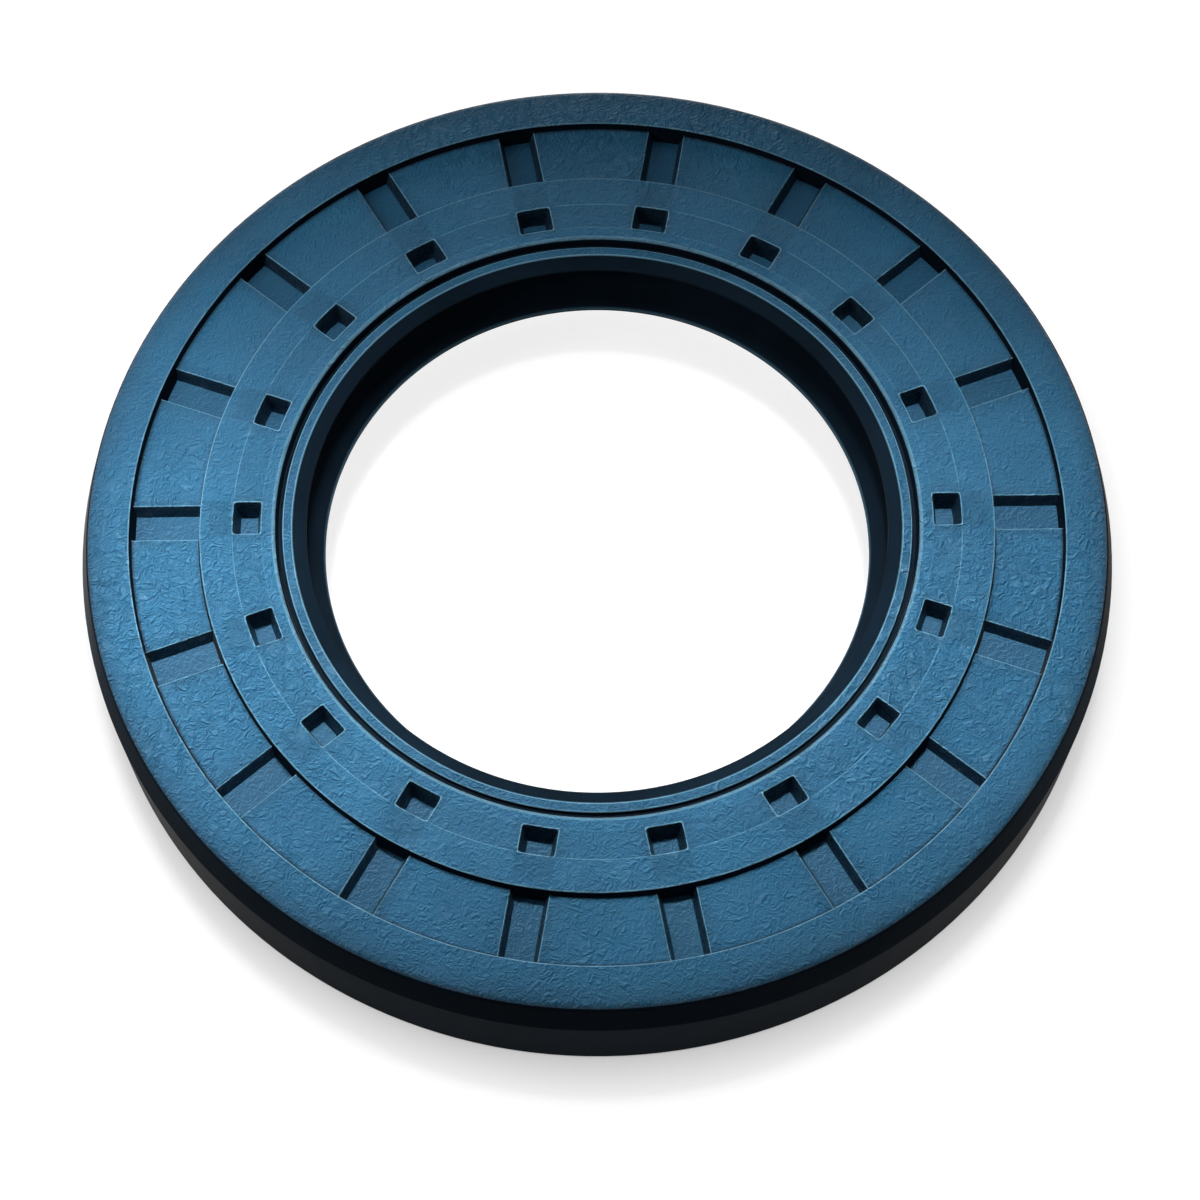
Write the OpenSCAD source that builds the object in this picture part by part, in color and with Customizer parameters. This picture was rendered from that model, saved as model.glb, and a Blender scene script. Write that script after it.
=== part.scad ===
// Radial shaft seal with a rubber cover, a main lip, a dust lip and a garter spring.
// The shaft runs along Z. The oil side rests on Z = 0 and the air side faces up.

/* [Fit] */
// Diameter of the shaft that the seal runs on
shaft_d = 55; // [46:0.5:59]
// Diameter of the housing bore that the seal is pressed into
housing_d = 100; // [96:0.5:124]
// Width of the seal along the shaft
width = 13; // [10:0.1:18]

/* [Outer wall] */
// Height of the lead-in chamfer at the air side
lead_in_h = 3.5; // [1:0.1:5]
// Radial depth of the lead-in chamfer at the air side
lead_in_depth = 1; // [0.6:0.1:2]
// Rounding where the lead-in chamfer meets the rim
rim_round = 0.8; // [0.2:0.1:1.5]
// Height of the chamfer at the oil side
foot_chamfer_h = 0.5; // [0.3:0.1:2]
// Radial depth of the chamfer at the oil side
foot_chamfer_depth = 0.5; // [0.2:0.1:1.2]

/* [Air side face] */
// Radial width of the flat outer rim
rim_w = 4.1; // [2:0.1:5]
// Drop of the outer rim below the inner ring
rim_drop = 0.1; // [0:0.05:0.5]
// Radial width of the sunk band of tiles between rim and ring
tile_w = 6.55; // [4:0.05:8]
// Drop of the sunk band below the inner ring
tile_drop = 0.95; // [0.7:0.05:1.4]
// Draft angle of the walls on both sides of the band
band_draft = 8; // [3:0.5:12]
// Rounding of the moulded edges on the face
edge_round = 0.15; // [0.05:0.01:0.2]
// Rounding of the inner ring's edge above the dust lip
ring_round = 0.6; // [0.2:0.05:0.7]

/* [Pockets] */
// Number of slots, and of square pockets, around the face
pocket_count = 18; // [8:1:24]
// Width of each slot across the sunk band
slot_w = 3.65; // [2:0.05:5]
// Width of each square pocket along the ring
square_w = 3.4; // [2:0.05:5]
// Length of each square pocket towards the shaft
square_len = 2.7; // [1.8:0.05:3]
// Distance from the ring's inner edge to the square pockets
square_inset = 1.4; // [1:0.05:1.7]
// Draft angle of the slots' sides
slot_draft = 20; // [3:0.5:24]
// Draft angle of the square pockets' walls
square_draft = 12; // [3:0.5:16]

/* [Steel ring] */
// Depth of the steel flange below the inner ring, which is also the depth of the pockets
steel_depth = 2.35; // [2:0.05:2.7]
// Thickness of the steel sheet
steel_t = 1.2; // [0.8:0.05:1.3]
// Inside radius of the bend between flange and leg
bend_r = 1; // [0.5:0.1:2]
// Distance that the flange reaches inwards past the square pockets
flange_lap = 0.3; // [0.1:0.05:0.8]

/* [Rubber cover] */
// Rubber outside the steel leg
cover_wall = 1.5; // [1:0.05:2]
// Rubber inside the steel leg
lining_wall = 0.6; // [0.4:0.05:1.5]
// Rubber under the steel flange
under_coat = 0.5; // [0.4:0.05:1]
// Rubber below the end of the steel leg
foot_wall = 0.8; // [0.5:0.05:1.5]
// Rounding in the corner of the oil side cavity
cavity_round = 0.8; // [0.3:0.1:1.5]
// Bevel on the inner edge of the foot
foot_bevel = 0.3; // [0.1:0.05:0.5]

/* [Dust lip] */
// Gap between the dust lip and the shaft
dust_gap = 0.6; // [0.3:0.05:1]
// Depth of the dust lip's edge below the inner ring
dust_depth = 1.5; // [1.3:0.05:1.8]
// Thickness of the dust lip at its edge
dust_edge_t = 0.3; // [0.2:0.05:0.5]
// Radial width of the slope on top of the dust lip
dust_slope_w = 1.4; // [1:0.05:1.8]
// Radial width of the flat top of the dust lip
dust_top_w = 0.8; // [0.4:0.05:1.2]
// Drop of the dust lip's flat top below the inner ring
dust_drop = 0.6; // [0.3:0.05:0.8]
// Width of the groove between the dust lip and the ring
relief_w = 0.65; // [0.5:0.05:1.2]
// Depth of that groove below the inner ring
relief_depth = 1.1; // [0.9:0.05:1.3]
// Lean of each wall of that groove
relief_lean = 0.15; // [0.05:0.01:0.2]

/* [Main lip] */
// Radial squeeze of the main lip on the shaft
lip_squeeze = 0.75; // [0.4:0.05:1.2]
// Depth of the main lip's edge below the inner ring
lip_depth = 7; // [6.6:0.05:7.8]
// Width of the band on which the edge touches the shaft
lip_land = 0.25; // [0.1:0.05:0.5]
// Angle of the lip to the shaft on the air side
air_angle = 35; // [25:1:38]
// Angle of the lip to the shaft on the oil side
oil_angle = 50; // [40:1:55]
// Height of the slope on the air side of the lip
air_slope_h = 2; // [1.8:0.05:2.1]
// Height of the slope on the oil side of the lip
oil_slope_h = 1.45; // [1.2:0.05:1.5]
// Depth of the grease space between the lips, measured from the dust lip's edge
grease_depth = 1.6; // [1.2:0.05:1.9]
// Height of the grease space at its back
grease_h = 0.6; // [0.4:0.05:0.7]
// Radial width of the membrane that carries the lip
membrane_w = 1.9; // [1.4:0.1:2.6]

/* [Garter spring] */
// Outside diameter of the spring's coil
spring_d = 2; // [1.6:0.05:2.1]
// Rubber between the main lip's edge and the spring
lip_wall = 1.25; // [1.05:0.05:1.5]
// Height of the spring's centre above the middle of the lip's edge
spring_lift = 0.55; // [0.3:0.05:0.6]
// Distance from the spring's centre to the outside of the lip, where the groove opens
groove_wrap = 0.3; // [0.1:0.05:0.5]
// Clearance between the spring and its groove
spring_clear = 0.02; // [0.01:0.01:0.05]

/* [Hidden] */
$fn = 144;

// Fewest straight steps in a rounded corner, and the radius that each further step stands for
least_steps = 3;
step_radius = 0.25;
// Number of straight steps round the spring groove
groove_steps = 16;
// Distance that a cut runs on past the surface that it opens
cut_over = 0.3;
// Distance that the tiles run into the walls on both sides of the band
tile_root = 0.5;
// Angle from one pocket to the next
pitch = 360 / pocket_count;
// Lean of the drafted walls for each mm of height
band_lean = tan(band_draft);
slot_lean = tan(slot_draft);
square_lean = tan(square_draft);

// Heights above the oil side
face_z = width;
rim_z = face_z - rim_drop;
tile_z = face_z - tile_drop;
steel_top_z = face_z - steel_depth;
steel_low_z = steel_top_z - steel_t;
under_z = steel_low_z - under_coat;
dust_top_z = face_z - dust_drop;
relief_z = face_z - relief_depth;
dust_high_z = face_z - dust_depth + dust_edge_t / 2;
dust_low_z = dust_high_z - dust_edge_t;
lip_low_z = face_z - lip_depth;
lip_high_z = lip_low_z + lip_land;
air_slope_z = lip_high_z + air_slope_h;
toe_z = lip_low_z - oil_slope_h;
spring_z = lip_low_z + lip_land / 2 + spring_lift;

// Radii from the housing inwards
outer_r = housing_d / 2;
rim_out_r = outer_r - lead_in_depth;
rim_in_r = rim_out_r - rim_w;
ring_out_r = rim_in_r - tile_w;
leg_out_r = outer_r - cover_wall;
leg_in_r = leg_out_r - steel_t;
lining_r = leg_in_r - lining_wall;

// Radii from the shaft outwards
dust_tip_r = shaft_d / 2 + dust_gap;
dust_in_r = dust_tip_r + dust_slope_w;
dust_out_r = dust_in_r + dust_top_w;
ring_in_r = dust_out_r + relief_w;
square_in_r = ring_in_r + square_inset;
square_out_r = square_in_r + square_len;
flange_in_r = square_in_r - flange_lap;
grease_r = dust_tip_r + grease_depth;
lip_r = shaft_d / 2 - lip_squeeze;
air_slope_r = lip_r + air_slope_h * tan(air_angle);
toe_r = lip_r + oil_slope_h * tan(oil_angle);
spring_r = lip_r + lip_wall + spring_d / 2;
groove_r = spring_d / 2 + spring_clear;
head_r = spring_r + groove_wrap;
membrane_r = head_r + membrane_w;

// Vector of length one along v
function unit(v) = v / norm(v);

// Points along an arc about a centre, from one angle to another
function arc(centre, radius, from, to, steps) =
    [for (i = [0 : steps])
        let (a = from + (to - from) * i / steps)
        centre + radius * [cos(a), sin(a)]];

// Points that round the corner b between its neighbours a and c
function round_corner(a, b, c, radius) =
    let (
        u = unit(a - b),
        v = unit(c - b),
        half = acos(u * v) / 2,
        centre = b + unit(u + v) * radius / sin(half),
        first = b + u * radius / tan(half) - centre,
        last = b + v * radius / tan(half) - centre,
        from = atan2(first.y, first.x),
        turn = atan2(first.x * last.y - first.y * last.x, first * last)
    )
    arc(centre, radius, from, from + turn, max(least_steps, ceil(radius / step_radius)));

// Outline from corners [r, z, rounding], where a rounding of 0 keeps the corner sharp
function rounded(corners) =
    let (n = len(corners))
    [for (i = [0 : n - 1])
        let (
            b = corners[i],
            a = corners[(i + n - 1) % n],
            c = corners[(i + 1) % n]
        )
        each b[2] == 0
            ? [[b.x, b.y]]
            : round_corner([a.x, a.y], [b.x, b.y], [c.x, c.y], b[2])];

// Corners of the rubber's section, from the foot up the outer wall
function wall_corners() = [
    [outer_r - foot_chamfer_depth, 0, 0],
    [outer_r, foot_chamfer_h, 0],
    [outer_r, rim_z - lead_in_h, 0],
    [rim_out_r, rim_z, rim_round]];

// Corners along the air side face, where the sunk band is a trench that opens on the steel
function face_corners() =
    let (trench_z = steel_top_z - cut_over)
    [
        [rim_in_r + band_lean * (rim_z - tile_z), rim_z, edge_round],
        [rim_in_r + band_lean * (trench_z - tile_z), trench_z, 0],
        [ring_out_r + band_lean * (tile_z - trench_z), trench_z, 0],
        [ring_out_r - band_lean * (face_z - tile_z), face_z, edge_round],
        [ring_in_r, face_z, ring_round]];

// Corners of the relief groove and the dust lip, down to the grease space
function dust_lip_corners() = [
    [ring_in_r - relief_lean, relief_z, 0],
    [dust_out_r + relief_lean, relief_z, 0],
    [dust_out_r, dust_top_z, edge_round / 2],
    [dust_in_r, dust_top_z, edge_round / 2],
    [dust_tip_r, dust_high_z, 0],
    [dust_tip_r, dust_low_z, 0],
    [grease_r, dust_low_z, grease_h / 4],
    [grease_r, dust_low_z - grease_h, grease_h / 4]];

// Corners of the main lip, from the grease space round its edge to the toe
function main_lip_corners() = [
    [air_slope_r, air_slope_z, ring_round],
    [lip_r, lip_high_z, 0],
    [lip_r, lip_low_z, 0],
    [toe_r, toe_z, edge_round],
    [head_r, toe_z, edge_round]];

// Points round the inside of the spring groove, open towards the cavity
function groove_corners() =
    let (open_angle = acos(groove_wrap / groove_r))
    [for (p = arc([spring_r, spring_z], groove_r, 360 - open_angle, open_angle, groove_steps))
        [p.x, p.y, 0]];

// Corners of the oil side cavity, from the membrane back to the foot
function cavity_corners() = [
    [membrane_r, under_z, cavity_round],
    [lining_r, under_z, cavity_round],
    [lining_r, foot_bevel, 0],
    [lining_r + foot_bevel, 0, 0]];

// Section of the whole rubber moulding, with the steel's channel still full
module rubber_section() {
    polygon(rounded(concat(
        wall_corners(), face_corners(), dust_lip_corners(),
        main_lip_corners(), groove_corners(), cavity_corners())));
}

// L-shaped section of the steel, used for the steel and for its channel in the rubber
module steel_section() {
    polygon(rounded([
        [leg_out_r, foot_wall, 0],
        [leg_out_r, steel_top_z, bend_r + steel_t],
        [flange_in_r, steel_top_z, 0],
        [flange_in_r, steel_low_z, 0],
        [leg_in_r, steel_low_z, bend_r],
        [leg_in_r, foot_wall, 0]]));
}

// Outline of a tapered cut whose mouth reaches between two edges at the given height
module taper(from, to, mouth_z, lean) {
    low_z = steel_top_z - cut_over;
    high_z = mouth_z + cut_over;
    polygon([
        [from - lean * (low_z - mouth_z), low_z],
        [to + lean * (low_z - mouth_z), low_z],
        [to + lean * (high_z - mouth_z), high_z],
        [from - lean * (high_z - mouth_z), high_z]]);
}

// Tapered bar along the radius, with straight sides
module taper_bar(inner_r, outer_r, wide, mouth_z, lean) {
    translate([inner_r, 0, 0])
        rotate([90, 0, 90])
            linear_extrude(outer_r - inner_r)
                taper(-wide / 2, wide / 2, mouth_z, lean);
}

// Tiles that stand on the steel between the slots, and join the rim to the ring
module tiles() {
    inner_r = ring_out_r - tile_root;
    outer_r = rim_in_r + tile_root;
    low_z = steel_top_z - cut_over;
    for (i = [0 : pocket_count - 1])
        rotate((i + 0.5) * pitch)
            difference() {
                rotate(-pitch / 2)
                    rotate_extrude(angle = pitch)
                        translate([inner_r, low_z])
                            square([outer_r - inner_r, tile_z - low_z]);
                for (side = [-1, 1])
                    rotate(side * pitch / 2)
                        taper_bar(inner_r - cut_over, outer_r + cut_over,
                            slot_w, tile_z, slot_lean);
            }
}

// Square pockets with curved ends, one in line with each slot
module square_pockets() {
    for (i = [0 : pocket_count - 1])
        rotate(i * pitch)
            intersection() {
                rotate(-pitch / 2)
                    rotate_extrude(angle = pitch)
                        taper(square_in_r, square_out_r, face_z, square_lean);
                taper_bar(square_in_r - cut_over, square_out_r + cut_over,
                    square_w, face_z, square_lean);
            }
}

// One moulding: cover, face, both lips and the spring groove
module rubber_body() {
    color("#2f6f94")
        difference() {
            union() {
                rotate(pitch / 2) rotate_extrude() rubber_section();
                tiles();
            }
            rotate(pitch / 2) rotate_extrude() steel_section();
            square_pockets();
        }
}

// Pressed steel ring that stiffens the rubber and shows at the bottom of the pockets
module steel_ring() {
    color("#6b7f8c")
        rotate_extrude() steel_section();
}

// Closed coil spring that holds the main lip on the shaft, as a ring of its outside size
module garter_spring() {
    color("#b9bcbf")
        rotate_extrude()
            translate([spring_r, spring_z])
                circle(d = spring_d, $fn = 48);
}

rubber_body();
steel_ring();
garter_spring();
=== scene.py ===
# %% [markdown]
# # A rubber-covered shaft seal
#
# The seal lies on a white table with its air side up. It is one blue rubber moulding round a steel
# ring, with a band of tiles, slots and square pockets on its face, two lips round the hole and a
# coil spring behind the inner lip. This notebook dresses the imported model: it builds the moulding
# again with rounded edges, winds the spring, and gives each piece its finish.

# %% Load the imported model
import math
import bmesh
import bpy
import numpy as np
from mathutils import Matrix, Vector


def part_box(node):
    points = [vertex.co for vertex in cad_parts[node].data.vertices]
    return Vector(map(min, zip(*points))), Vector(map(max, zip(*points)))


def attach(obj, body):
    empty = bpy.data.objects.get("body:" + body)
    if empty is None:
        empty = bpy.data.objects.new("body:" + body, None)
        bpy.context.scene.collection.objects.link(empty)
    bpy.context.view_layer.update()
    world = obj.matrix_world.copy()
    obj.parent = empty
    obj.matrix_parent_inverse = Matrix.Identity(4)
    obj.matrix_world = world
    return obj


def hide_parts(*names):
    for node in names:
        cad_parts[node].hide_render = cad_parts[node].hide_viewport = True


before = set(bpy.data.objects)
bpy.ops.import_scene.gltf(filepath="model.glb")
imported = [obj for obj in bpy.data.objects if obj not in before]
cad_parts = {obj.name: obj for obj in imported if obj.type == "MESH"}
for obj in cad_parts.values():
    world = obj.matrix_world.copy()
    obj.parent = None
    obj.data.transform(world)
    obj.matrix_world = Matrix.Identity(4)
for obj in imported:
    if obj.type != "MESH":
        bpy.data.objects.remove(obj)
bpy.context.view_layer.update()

MM = 0.001

# %% [markdown]
# ## The sizes of the moulding
#
# All sizes are in millimetres, as on a drawing. Heights are measured from the table and radii from
# the shaft's axis. They repeat the model's own sizes, so the dressed moulding fills the same space,
# and the model's box is used to prove it. In the names, R is a radius, Z a height, W a width, D a
# diameter, and LEAN how much a wall leans for each millimetre of its height.

# %% Sizes
OUTER_R, WIDTH = 50.0, 13.0
FOOT_R, FOOT_CHAMFER, LEAD_IN_Z, LEAD_IN_R, RIM_MIDDLE_R = 48.6, 0.5, 9.4, 49.0, 46.6
POCKETS = 18
PITCH = 360.0 / POCKETS
RIM_Z, TILE_Z, RING_Z, STEEL_Z = 12.9, 12.05, 13.0, 10.65
STEEL_LOW_Z, STEEL_IN_R, LEG_OUT_R, LEG_IN_R, LEG_FOOT_Z = 9.45, 32.05, 48.5, 47.3, 0.8
BAND_IN_R, BAND_OUT_R, BAND_LEAN = 38.35, 44.9, math.tan(math.radians(8))
SLOT_W, SQUARE_W, SQUARE_IN_R, SQUARE_OUT_R = 3.65, 3.4, 32.35, 35.05
SLOT_LEAN, SQUARE_LEAN = math.tan(math.radians(20)), math.tan(math.radians(12))
RING_IN_R, DUST_OUT_R, DUST_IN_R, DUST_TIP_R, DUST_Z = 30.95, 30.3, 29.5, 28.1, 12.4
BEHIND_DUST_R, DUST_LOW_Z = 29.7, 11.35
LIP_R, LIP_LOW_Z, LIP_HIGH_Z, LIP_FOOT_Z = 26.75, 6.0, 6.25, 4.55
SPRING_R, SPRING_Z, SPRING_D, GROOVE_R, MOUTH_R = 29.0, 6.675, 2.0, 1.02, 29.3
HOLLOW_R, HOLLOW_Z = 46.7, 8.95

low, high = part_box("rubber_body")
assert abs(high.x / MM - OUTER_R) < 0.05 and abs(high.z / MM - WIDTH) < 0.01
print("the moulding is", round((high.x - low.x) / MM, 2), "mm wide and",
      round((high.z - low.z) / MM, 2), "mm high")

# %% [markdown]
# ## The section of the moulding
#
# A moulded seal is a round thing, so its shape is a section turned about the shaft's axis. Only the
# band of tiles breaks that rule. The section is written as a list of rows, and each row has two
# places: where it runs between the pockets, and where it runs down a slot to the steel. A column
# between the two is a mix of both, so the slots' side walls need no cutting. A boolean would also
# cut the slots, but it leaves long thin triangles that spoil the light on the rounded edges.

# %% Rounded corners
def corner_arc(before, corner, after, radius, steps):
    """Points of an arc that rounds one corner of a section."""
    a, b, c = (np.array(p, float) for p in (before, corner, after))
    u, v = (a - b) / np.linalg.norm(a - b), (c - b) / np.linalg.norm(c - b)
    half = math.acos(float(np.clip(u @ v, -1, 1))) / 2
    centre = b + (u + v) / np.linalg.norm(u + v) * radius / math.sin(half)
    first = b + u * radius / math.tan(half) - centre
    last = b + v * radius / math.tan(half) - centre
    turn = math.atan2(first[0] * last[1] - first[1] * last[0], float(first @ last))
    start = math.atan2(first[1], first[0])
    angles = [start + turn * i / steps for i in range(steps + 1)]
    return [tuple(centre + radius * np.array([math.cos(t), math.sin(t)])) for t in angles]


def rounded(corners):
    """Points of a run of corners (r, z, radius, steps); the first and the last stay as they are."""
    points = [corners[0][:2]]
    for i in range(1, len(corners) - 1):
        r, z, radius, steps = corners[i]
        points += corner_arc(points[-1], (r, z), corners[i + 1][:2], radius, steps) if radius else [(r, z)]
    return points + [corners[-1][:2]]


print("a square corner rounded in two steps:", [
    (round(float(r), 2), round(float(z), 2)) for r, z in corner_arc((0, 0), (1, 0), (1, 1), 0.5, 2)])

# %% [markdown]
# The rows go once round the section: up the outer wall, inwards over the face, down the lips, round
# the spring's groove and back through the hollow on the oil side. A row also knows how many steps
# inside a square pocket it lies, how deep the faint step beside the squares is there, and whether it
# crosses the floor of the slots or the faint patches between the pockets. Two more values tell how
# pale its edge is, partly from wear and partly as a painted highlight, and how smooth the mould was,
# which also darkens the colour as painted shade. A mesh can hold such values at its points as
# attributes, and a material can read them.

# %% Rows as a list
SLOT_FLOOR, FAINT_PATCH = "slot floor", "faint patch"
rows = []


def add_row(r, z, slot_r=None, slot_z=None, square=0, step=0.0, edge=0.0, zone=None, smooth=0.0):
    rows.append(dict(
        r=r, z=z, slot_r=r if slot_r is None else slot_r, slot_z=z if slot_z is None else slot_z,
        square=square, step=step, edge=edge, zone=zone, smooth=smooth))


def add_run(points, smooth_at=lambda r, z: 1.0, edge_at=lambda r, z: 0.0):
    for r, z in points:
        add_row(r, z, smooth=smooth_at(r, z), edge=edge_at(r, z))


print("a row can cross a", SLOT_FLOOR, "or a", FAINT_PATCH)

# %% [markdown]
# The outer wall grips the housing, so the mould is polished there, and the finish fades out over the
# lead-in into the grained face. The same value darkens the colour as painted shade on the wall, over the
# lead-in and towards the outer edge of the rim's flat. A corner of the run is given as radius, height,
# rounding and the number of steps of the rounding.

# %% Outer wall and rim
EDGE_STEPS, EDGE_ROUND = 4, 0.16
WALL_FADE, WALL_FADE_START = 0.4, 0.04
RIM_FADE_R, RIM_FADE, RIM_FADE_Z = 48.0, 3.0, 12.5


def wall_polish_and_shade(r, z):
    """Polish and painted shade: full on the outer wall; fades out below the rim, and over the rounding into
    the rim's flat.
    """
    by_height = (RIM_Z - WALL_FADE_START - z) / WALL_FADE
    by_radius = (r - RIM_FADE_R) / RIM_FADE if z > RIM_FADE_Z else 0.0
    return min(max(by_height, by_radius, 0.0), 1.0)


add_run(rounded([
    (FOOT_R, 0, 0, 0), (OUTER_R - FOOT_CHAMFER, 0, 0.15, 2), (OUTER_R, FOOT_CHAMFER, 0.25, 3),
    (OUTER_R, 4.9, 0, 0), (OUTER_R, LEAD_IN_Z, 0.35, 4), (LEAD_IN_R, RIM_Z, 0.8, 10),
    (RIM_MIDDLE_R, RIM_Z, 0, 0)]), smooth_at=wall_polish_and_shade)
print(len(rows), "rows from the foot over the wall to the rim")

# %% [markdown]
# The band of tiles lies sunk between the rim and the ring, and its two walls lean so that the mould
# comes out. Here each row gets its second place as well: on the steel, where a slot runs down to it.
# The rounded edges on both sides are pale, partly from wear and partly as a painted highlight. The walls
# below them are polished and darkened as painted shade, and painted shade also lies in the corners at their
# foot.

# %% Band of tiles
FILLET = 0.07
# Pale edge lines: partly wear, partly a painted highlight on the rounded edges.
RIM_EDGE_WEAR_AND_SHEEN = (0.0, 0.5, 1.0, 0.6, 0.0)
RING_EDGE_WEAR_AND_SHEEN = (0.0, 0.6, 1.0, 0.5, 0.0)
# The walls below the band's rounded edges are polished and darkened as painted shade.
POLISHED_SHADED_END = 0.8


def on_band_wall(side, z):
    """Radius of the band's leaning wall at a height; side is 1 at the rim and -1 at the ring."""
    return (BAND_OUT_R if side > 0 else BAND_IN_R) + side * BAND_LEAN * (z - TILE_Z)


# The fillet rows lie in the corners at the foot of the band walls; their high smooth value darkens those
# corners as painted shade.
def add_fillet_row(side):
    add_row(on_band_wall(side, TILE_Z + FILLET), TILE_Z + FILLET,
            on_band_wall(side, STEEL_Z + FILLET), STEEL_Z + FILLET, smooth=0.9)


rim_edge = corner_arc((RIM_MIDDLE_R, RIM_Z), (on_band_wall(1, RIM_Z), RIM_Z), (BAND_OUT_R, TILE_Z),
                      EDGE_ROUND, EDGE_STEPS)
for (r, z), pale_line in zip(rim_edge, RIM_EDGE_WEAR_AND_SHEEN):
    add_row(r, z, edge=pale_line, smooth=POLISHED_SHADED_END * ((r, z) == rim_edge[-1]))
add_fillet_row(1)
# The smooth values of the tile rows beside the corners lay a soft painted shade along the foot of the walls.
add_row(BAND_OUT_R - FILLET, TILE_Z, on_band_wall(1, STEEL_Z), STEEL_Z, zone=SLOT_FLOOR, smooth=0.45)
for r in (BAND_OUT_R - 0.38, 43.2, 41.6, 40.0, BAND_IN_R + 0.42):
    add_row(r, TILE_Z, r, STEEL_Z, zone=SLOT_FLOOR)
add_row(BAND_IN_R + FILLET, TILE_Z, on_band_wall(-1, STEEL_Z), STEEL_Z, zone=SLOT_FLOOR, smooth=0.25)
add_fillet_row(-1)
ring_edge = corner_arc((BAND_IN_R, TILE_Z), (on_band_wall(-1, RING_Z), RING_Z), (36.5, RING_Z),
                       EDGE_ROUND, EDGE_STEPS)
for (r, z), pale_line in zip(ring_edge, RING_EDGE_WEAR_AND_SHEEN):
    add_row(r, z, edge=pale_line, smooth=POLISHED_SHADED_END * ((r, z) == ring_edge[0]))
for r in (37.0, 36.2, 35.7, 35.4):
    add_row(r, RING_Z, zone=FAINT_PATCH)
print(len(rows), "rows so far, from the foot to the ring")

# %% [markdown]
# A square pocket needs rows of its own. They follow the same steps as the columns beside it, from
# the flat face over the rounded mouth and down the leaning wall, so that both meet in clean mitres.

# %% Steps over the mouth of a pocket
MOUTH_ROUND, WALL_MIDDLE = 0.14, 0.55


def mouth_steps(depth, lean):
    """Offsets from the mouth's edge into the pocket, with their depths: flat, rounding, wall, floor."""
    arc = corner_arc((-1, 0), (0, 0), (lean * depth, -depth), MOUTH_ROUND, EDGE_STEPS)
    middle = depth * WALL_MIDDLE
    return [(x, -z) for x, z in arc] + [(lean * middle, middle), (lean * depth, depth)]


slot_steps = mouth_steps(TILE_Z - STEEL_Z, SLOT_LEAN)
square_steps = mouth_steps(RING_Z - STEEL_Z, SQUARE_LEAN)
FLOOR = len(square_steps)
# Pale lines round the pocket mouths: partly wear, partly a painted highlight.
STEP_WEAR_AND_SHEEN = (0.0, 0.5, 1.0, 0.5, 0.0, 0.0, 0.0)
STEP_SUNK = (0.0, 0.3, 0.8, 1.0, 1.0, 1.0, 1.0)
# How smooth each step of a pocket wall is; the darker colour this gives the walls is painted shade, and the
# first value lays a faint painted shade on the flat just outside the mouth.
STEP_POLISH_AND_SHADE = (0.1, 0.0, 0.0, 0.25, 0.45, 0.5, 0.45)
OUTER_LINE, INNER_LINE = 0.55, 0.2

for i, (into, depth) in enumerate(square_steps):
    add_row(SQUARE_OUT_R - into, RING_Z, square=i + 1, step=STEP_SUNK[i], edge=OUTER_LINE * STEP_WEAR_AND_SHEEN[i])
for i, (into, depth) in reversed(list(enumerate(square_steps))):
    add_row(SQUARE_IN_R + into, RING_Z, square=i + 1, step=STEP_SUNK[i], edge=INNER_LINE * STEP_WEAR_AND_SHEEN[i])
print("pocket walls take", FLOOR, "steps from the face to the steel")

# %% [markdown]
# Inside the ring the section drops into a narrow relief groove and comes up again as the dust lip,
# which keeps dirt off. Below it the membrane leads to the main lip, a blunt wedge that rides on the
# shaft. The lips come from a polished part of the mould, and the lips and the relief groove are darkened
# as painted shade. A few points without rounding lie next to the lips' edges, because an attribute fades
# from point to point, and they keep the pale lines thin.

# %% Lips
RELIEF_R, RELIEF_Z = DUST_OUT_R + 0.2, 11.9
# The ring's rounded edge, the relief groove and the dust lip's flat get smooth values that darken them as
# painted shade.
RING_FADE, RING_POLISH_AND_SHADE, DUST_FLAT_POLISH_AND_SHADE = 0.5, 0.95, 0.12
# Pale lines on the ring's inner edge and on the dust lip: partly wear, partly a painted highlight.
RING_INNER_WEAR_AND_SHEEN, RING_INNER_LINE_LOW_Z, RING_INNER_LINE_HIGH_Z = 0.5, 12.75, 12.97
DUST_WEAR_AND_SHEEN, DUST_LINE_LOW_Z, DUST_LINE_HIGH_Z = 0.9, DUST_Z - 0.08, DUST_Z - 0.001
TIP_WEAR_AND_SHEEN = 0.35
lips = rounded([
    (31.95, RING_Z, 0, 0), (RING_IN_R, RING_Z, 0.6, 9), (30.8, RELIEF_Z, 0.08, 2), (30.45, RELIEF_Z, 0.08, 2),
    (30.36, 12.2, 0, 0), (DUST_OUT_R, DUST_Z, 0.1, 4), (DUST_IN_R, DUST_Z, 0.1, 4),
    (29.332, 12.31, 0, 0), (DUST_TIP_R, 11.65, 0.05, 2), (DUST_TIP_R, DUST_LOW_Z, 0.05, 2),
    (BEHIND_DUST_R, DUST_LOW_Z, 0.15, 3), (BEHIND_DUST_R, 10.75, 0.15, 3), (28.15, 8.25, 0.5, 4),
    (26.96, 6.55, 0, 0), (LIP_R, LIP_HIGH_Z, 0.06, 3), (LIP_R, LIP_LOW_Z, 0.06, 3),
    (26.95, 5.832, 0, 0), (28.478, LIP_FOOT_Z, 0.15, 3), (MOUTH_R, LIP_FOOT_Z, 0.15, 3),
    (MOUTH_R, 5.7, 0, 0)])


def lip_polish_and_shade(r, z):
    """How polished the moulding is over the ring's rounded edge, the relief groove and the lips; the same
    value darkens them as painted shade.
    """
    if r > RELIEF_R:
        return min(max((RING_Z - z) / RING_FADE, 0.0), 1.0) * RING_POLISH_AND_SHADE
    return DUST_FLAT_POLISH_AND_SHADE if z > DUST_Z - 0.02 else 1.0


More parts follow.
